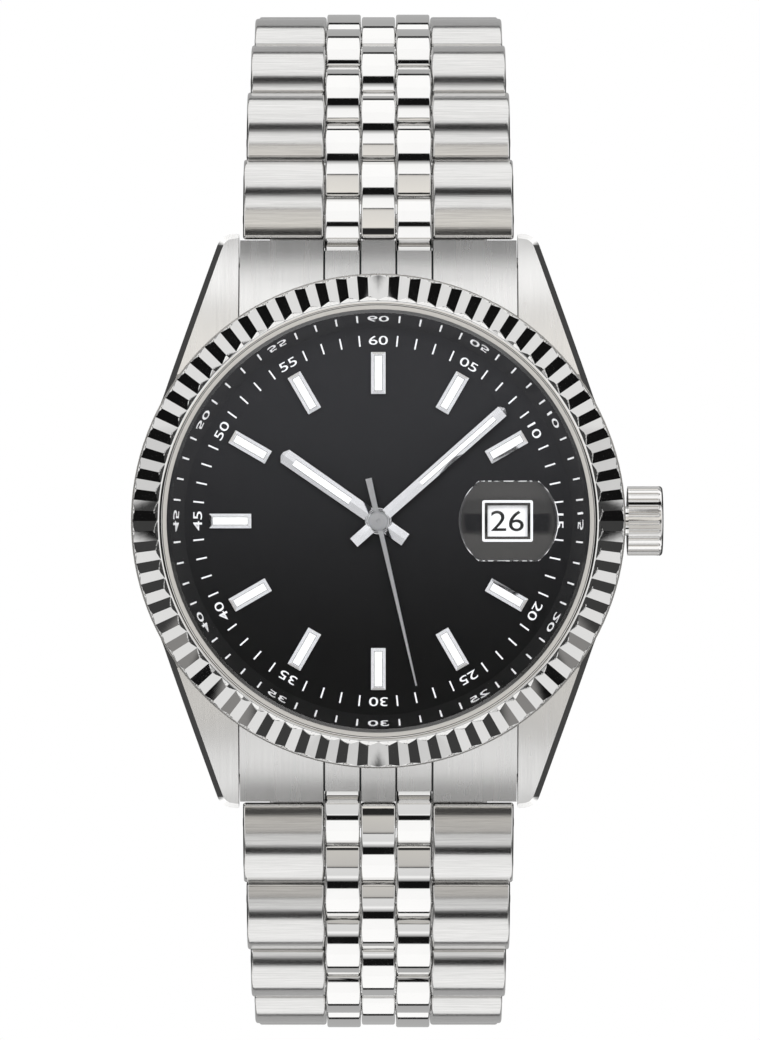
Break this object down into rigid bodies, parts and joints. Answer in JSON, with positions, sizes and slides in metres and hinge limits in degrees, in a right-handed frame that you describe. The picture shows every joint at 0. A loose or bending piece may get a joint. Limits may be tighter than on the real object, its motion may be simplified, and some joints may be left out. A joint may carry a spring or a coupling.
{
  "type": "wristwatch",
  "caption": "Round steel wristwatch with fluted bezel, black dial, applied baton markers, magnified date, crown and five-column link bracelet with a folding clasp.",
  "frame": {"origin": "centre of the case back's outer flat face", "axes": "+Z out through the dial, +Y towards 12 o'clock, +X towards the crown"},
  "size_m": [0.0381, 0.0766, 0.051],
  "materials": {
    "satin_steel": "brushed along and across",
    "polished_steel": "mirror polished",
    "blade_steel": "fine satin",
    "dial_black": "satin lacquer",
    "dial_print": "printed, matt",
    "date_white": "matt",
    "lume": "matt luminous fill",
    "crystal_glass": "clear polished",
    "gasket_clear": "translucent",
    "gasket_black": "matt",
    "movement_brass": "fine satin"
  },
  "bodies": {
    "case": {"case_middle": "satin_steel", "bezel": "polished_steel", "crystal": "crystal_glass", "crystal_gasket": "gasket_clear", "date_lens": "crystal_glass", "flange_ring": "polished_steel", "dial": "dial_black", "hour_markers": "polished_steel", "movement": "movement_brass", "battery": "blade_steel", "case_back": "satin_steel", "case_back_gasket": "gasket_black", "crown_tube": "blade_steel", "end_link_12": "satin_steel", "end_link_6": "satin_steel", "spring_bars": "blade_steel"},
    "date_disc": {"date_disc": "date_white"},
    "hour_hand": {"hour_hand": "polished_steel"},
    "minute_hand": {"minute_hand": "polished_steel"},
    "second_hand": {"second_hand": "polished_steel"},
    "crown_slide": {"setting_lever": "blade_steel"},
    "crown": {"crown": "polished_steel", "winding_stem": "blade_steel"},
    "bead_row_12_1": {"bead_row_12_1": "polished_steel"},
    "outer_row_12_1": {"outer_row_12_1": "satin_steel"},
    "bead_row_12_2": {"bead_row_12_2": "polished_steel"},
    "outer_row_12_2": {"outer_row_12_2": "satin_steel"},
    "bead_row_12_3": {"bead_row_12_3": "polished_steel"},
    "outer_row_12_3": {"outer_row_12_3": "satin_steel"},
    "bead_row_12_4": {"bead_row_12_4": "polished_steel"},
    "outer_row_12_4": {"outer_row_12_4": "satin_steel"},
    "bead_row_12_5": {"bead_row_12_5": "polished_steel"},
    "outer_row_12_5": {"outer_row_12_5": "satin_steel"},
    "bead_row_12_6": {"bead_row_12_6": "polished_steel"},
    "outer_row_12_6": {"outer_row_12_6": "satin_steel"},
    "bead_row_12_7": {"bead_row_12_7": "polished_steel"},
    "outer_row_12_7": {"outer_row_12_7": "satin_steel"},
    "bead_row_12_8": {"bead_row_12_8": "polished_steel"},
    "outer_row_12_8": {"outer_row_12_8": "satin_steel"},
    "bead_row_6_1": {"bead_row_6_1": "polished_steel"},
    "outer_row_6_1": {"outer_row_6_1": "satin_steel"},
    "bead_row_6_2": {"bead_row_6_2": "polished_steel"},
    "outer_row_6_2": {"outer_row_6_2": "satin_steel"},
    "bead_row_6_3": {"bead_row_6_3": "polished_steel"},
    "outer_row_6_3": {"outer_row_6_3": "satin_steel"},
    "bead_row_6_4": {"bead_row_6_4": "polished_steel"},
    "outer_row_6_4": {"outer_row_6_4": "satin_steel"},
    "bead_row_6_5": {"bead_row_6_5": "polished_steel"},
    "outer_row_6_5": {"outer_row_6_5": "satin_steel"},
    "bead_row_6_6": {"bead_row_6_6": "polished_steel"},
    "outer_row_6_6": {"outer_row_6_6": "satin_steel"},
    "bead_row_6_7": {"bead_row_6_7": "polished_steel"},
    "outer_row_6_7": {"outer_row_6_7": "satin_steel"},
    "bead_row_6_8": {"bead_row_6_8": "polished_steel"},
    "outer_row_6_8": {"outer_row_6_8": "satin_steel"},
    "clasp_base_blade": {"clasp_base_blade": "blade_steel"},
    "clasp_middle_blade": {"clasp_middle_blade": "blade_steel"},
    "clasp_cover": {"clasp_cover": "satin_steel"},
    "clasp_button_right": {"clasp_button_right": "polished_steel"},
    "clasp_button_left": {"clasp_button_left": "polished_steel"}
  },
  "joints": [
    {"name": "hour_hand_turn", "type": "hinge", "parent": "case", "child": "hour_hand", "pos_m": [0, 0, 0.0055], "axis": [0, 0, -1], "continuous": true},
    {"name": "minute_hand_turn", "type": "hinge", "parent": "case", "child": "minute_hand", "pos_m": [0, 0, 0.0058], "axis": [0, 0, -1], "continuous": true},
    {"name": "second_hand_turn", "type": "hinge", "parent": "case", "child": "second_hand", "pos_m": [0, 0, 0.0061], "axis": [0, 0, -1], "continuous": true},
    {"name": "date_disc_turn", "type": "hinge", "parent": "case", "child": "date_disc", "pos_m": [0, 0, 0.0044], "axis": [0, 0, -1], "continuous": true},
    {"name": "crown_pull", "type": "slide", "parent": "case", "child": "crown_slide", "axis": [1, 0, 0], "range_m": [0, 0.0012]},
    {"name": "crown_turn", "type": "hinge", "parent": "crown_slide", "child": "crown", "pos_m": [0.0192, 0, 0.003], "axis": [1, 0, 0], "continuous": true},
    {"name": "bead_row_12_1_hinge", "type": "hinge", "parent": "case", "child": "bead_row_12_1", "pos_m": [0, 0.0186, 0.0026], "axis": [1, 0, 0], "range_deg": [0, 25]},
    {"name": "outer_row_12_1_hinge", "type": "hinge", "parent": "bead_row_12_1", "child": "outer_row_12_1", "pos_m": [0, 0.0218, 0.00118], "axis": [1, 0, 0], "range_deg": [0, 9]},
    {"name": "bead_row_12_2_hinge", "type": "hinge", "parent": "outer_row_12_1", "child": "bead_row_12_2", "pos_m": [0, 0.02477, -0.00068], "axis": [1, 0, 0], "range_deg": [0, 6]},
    {"name": "outer_row_12_2_hinge", "type": "hinge", "parent": "bead_row_12_2", "child": "outer_row_12_2", "pos_m": [0, 0.02756, -0.00278], "axis": [1, 0, 0], "range_deg": [0, 7]},
    {"name": "bead_row_12_3_hinge", "type": "hinge", "parent": "outer_row_12_2", "child": "bead_row_12_3", "pos_m": [0, 0.03012, -0.00517], "axis": [1, 0, 0], "range_deg": [0, 9]},
    {"name": "outer_row_12_3_hinge", "type": "hinge", "parent": "bead_row_12_3", "child": "outer_row_12_3", "pos_m": [0, 0.03232, -0.00789], "axis": [1, 0, 0], "range_deg": [0, 7]},
    {"name": "bead_row_12_4_hinge", "type": "hinge", "parent": "outer_row_12_3", "child": "bead_row_12_4", "pos_m": [0, 0.03423, -0.01083], "axis": [1, 0, 0], "range_deg": [0, 9]},
    {"name": "outer_row_12_4_hinge", "type": "hinge", "parent": "bead_row_12_4", "child": "outer_row_12_4", "pos_m": [0, 0.03571, -0.014], "axis": [1, 0, 0], "range_deg": [0, 10]},
    {"name": "bead_row_12_5_hinge", "type": "hinge", "parent": "outer_row_12_4", "child": "bead_row_12_5", "pos_m": [0, 0.03667, -0.01736], "axis": [1, 0, 0], "range_deg": [0, 11]},
    {"name": "outer_row_12_5_hinge", "type": "hinge", "parent": "bead_row_12_5", "child": "outer_row_12_5", "pos_m": [0, 0.03704, -0.02084], "axis": [1, 0, 0], "range_deg": [0, 12]},
    {"name": "bead_row_12_6_hinge", "type": "hinge", "parent": "outer_row_12_5", "child": "bead_row_12_6", "pos_m": [0, 0.03673, -0.02433], "axis": [1, 0, 0], "range_deg": [0, 12]},
    {"name": "outer_row_12_6_hinge", "type": "hinge", "parent": "bead_row_12_6", "child": "outer_row_12_6", "pos_m": [0, 0.03577, -0.0277], "axis": [1, 0, 0], "range_deg": [0, 12]},
    {"name": "bead_row_12_7_hinge", "type": "hinge", "parent": "outer_row_12_6", "child": "bead_row_12_7", "pos_m": [0, 0.03418, -0.03081], "axis": [1, 0, 0], "range_deg": [0, 12]},
    {"name": "outer_row_12_7_hinge", "type": "hinge", "parent": "bead_row_12_7", "child": "outer_row_12_7", "pos_m": [0, 0.03203, -0.03357], "axis": [1, 0, 0], "range_deg": [0, 12]},
    {"name": "bead_row_12_8_hinge", "type": "hinge", "parent": "outer_row_12_7", "child": "bead_row_12_8", "pos_m": [0, 0.02938, -0.03587], "axis": [1, 0, 0], "range_deg": [0, 12]},
    {"name": "outer_row_12_8_hinge", "type": "hinge", "parent": "bead_row_12_8", "child": "outer_row_12_8", "pos_m": [0, 0.02635, -0.03762], "axis": [1, 0, 0], "range_deg": [0, 11]},
    {"name": "bead_row_6_1_hinge", "type": "hinge", "parent": "case", "child": "bead_row_6_1", "pos_m": [0, -0.0186, 0.0026], "axis": [-1, 0, 0], "range_deg": [0, 25]},
    {"name": "outer_row_6_1_hinge", "type": "hinge", "parent": "bead_row_6_1", "child": "outer_row_6_1", "pos_m": [0, -0.0218, 0.00118], "axis": [-1, 0, 0], "range_deg": [0, 9]},
    {"name": "bead_row_6_2_hinge", "type": "hinge", "parent": "outer_row_6_1", "child": "bead_row_6_2", "pos_m": [0, -0.02477, -0.00068], "axis": [-1, 0, 0], "range_deg": [0, 6]},
    {"name": "outer_row_6_2_hinge", "type": "hinge", "parent": "bead_row_6_2", "child": "outer_row_6_2", "pos_m": [0, -0.02756, -0.00278], "axis": [-1, 0, 0], "range_deg": [0, 7]},
    {"name": "bead_row_6_3_hinge", "type": "hinge", "parent": "outer_row_6_2", "child": "bead_row_6_3", "pos_m": [0, -0.03012, -0.00517], "axis": [-1, 0, 0], "range_deg": [0, 9]},
    {"name": "outer_row_6_3_hinge", "type": "hinge", "parent": "bead_row_6_3", "child": "outer_row_6_3", "pos_m": [0, -0.03232, -0.00789], "axis": [-1, 0, 0], "range_deg": [0, 7]},
    {"name": "bead_row_6_4_hinge", "type": "hinge", "parent": "outer_row_6_3", "child": "bead_row_6_4", "pos_m": [0, -0.03423, -0.01083], "axis": [-1, 0, 0], "range_deg": [0, 9]},
    {"name": "outer_row_6_4_hinge", "type": "hinge", "parent": "bead_row_6_4", "child": "outer_row_6_4", "pos_m": [0, -0.03571, -0.014], "axis": [-1, 0, 0], "range_deg": [0, 10]},
    {"name": "bead_row_6_5_hinge", "type": "hinge", "parent": "outer_row_6_4", "child": "bead_row_6_5", "pos_m": [0, -0.03667, -0.01736], "axis": [-1, 0, 0], "range_deg": [0, 11]},
    {"name": "outer_row_6_5_hinge", "type": "hinge", "parent": "bead_row_6_5", "child": "outer_row_6_5", "pos_m": [0, -0.03704, -0.02084], "axis": [-1, 0, 0], "range_deg": [0, 12]},
    {"name": "bead_row_6_6_hinge", "type": "hinge", "parent": "outer_row_6_5", "child": "bead_row_6_6", "pos_m": [0, -0.03673, -0.02433], "axis": [-1, 0, 0], "range_deg": [0, 12]},
    {"name": "outer_row_6_6_hinge", "type": "hinge", "parent": "bead_row_6_6", "child": "outer_row_6_6", "pos_m": [0, -0.03577, -0.0277], "axis": [-1, 0, 0], "range_deg": [0, 12]},
    {"name": "bead_row_6_7_hinge", "type": "hinge", "parent": "outer_row_6_6", "child": "bead_row_6_7", "pos_m": [0, -0.03418, -0.03081], "axis": [-1, 0, 0], "range_deg": [0, 12]},
    {"name": "outer_row_6_7_hinge", "type": "hinge", "parent": "bead_row_6_7", "child": "outer_row_6_7", "pos_m": [0, -0.03203, -0.03357], "axis": [-1, 0, 0], "range_deg": [0, 12]},
    {"name": "bead_row_6_8_hinge", "type": "hinge", "parent": "outer_row_6_7", "child": "bead_row_6_8", "pos_m": [0, -0.02938, -0.03587], "axis": [-1, 0, 0], "range_deg": [0, 12]},
    {"name": "outer_row_6_8_hinge", "type": "hinge", "parent": "bead_row_6_8", "child": "outer_row_6_8", "pos_m": [0, -0.02635, -0.03762], "axis": [-1, 0, 0], "range_deg": [0, 11]},
    {"name": "clasp_end_hinge", "type": "hinge", "parent": "outer_row_6_8", "child": "clasp_base_blade", "pos_m": [0, -0.02306, -0.03882], "axis": [-1, 0, 0], "range_deg": [0, 21]},
    {"name": "clasp_blade_hinge", "type": "hinge", "parent": "clasp_base_blade", "child": "clasp_middle_blade", "pos_m": [0, 0.0155, -0.0393], "axis": [1, 0, 0], "range_deg": [0, 135]},
    {"name": "clasp_cover_hinge", "type": "hinge", "parent": "clasp_middle_blade", "child": "clasp_cover", "pos_m": [0, -0.0155, -0.0399], "axis": [1, 0, 0], "range_deg": [-135, 0]},
    {"name": "clasp_button_right_press", "type": "slide", "parent": "clasp_cover", "child": "clasp_button_right", "axis": [-1, 0, 0], "range_m": [0, 0.0006], "stiffness_N_per_m": 300},
    {"name": "clasp_button_left_press", "type": "slide", "parent": "clasp_cover", "child": "clasp_button_left", "axis": [1, 0, 0], "range_m": [0, 0.0006], "stiffness_N_per_m": 300}
  ],
  "couplings": [
    {"joint": "hour_hand_turn", "follows": "minute_hand_turn", "ratio": 0.083333},
    {"joint": "clasp_cover_hinge", "follows": "clasp_blade_hinge", "ratio": -1}
  ]
}
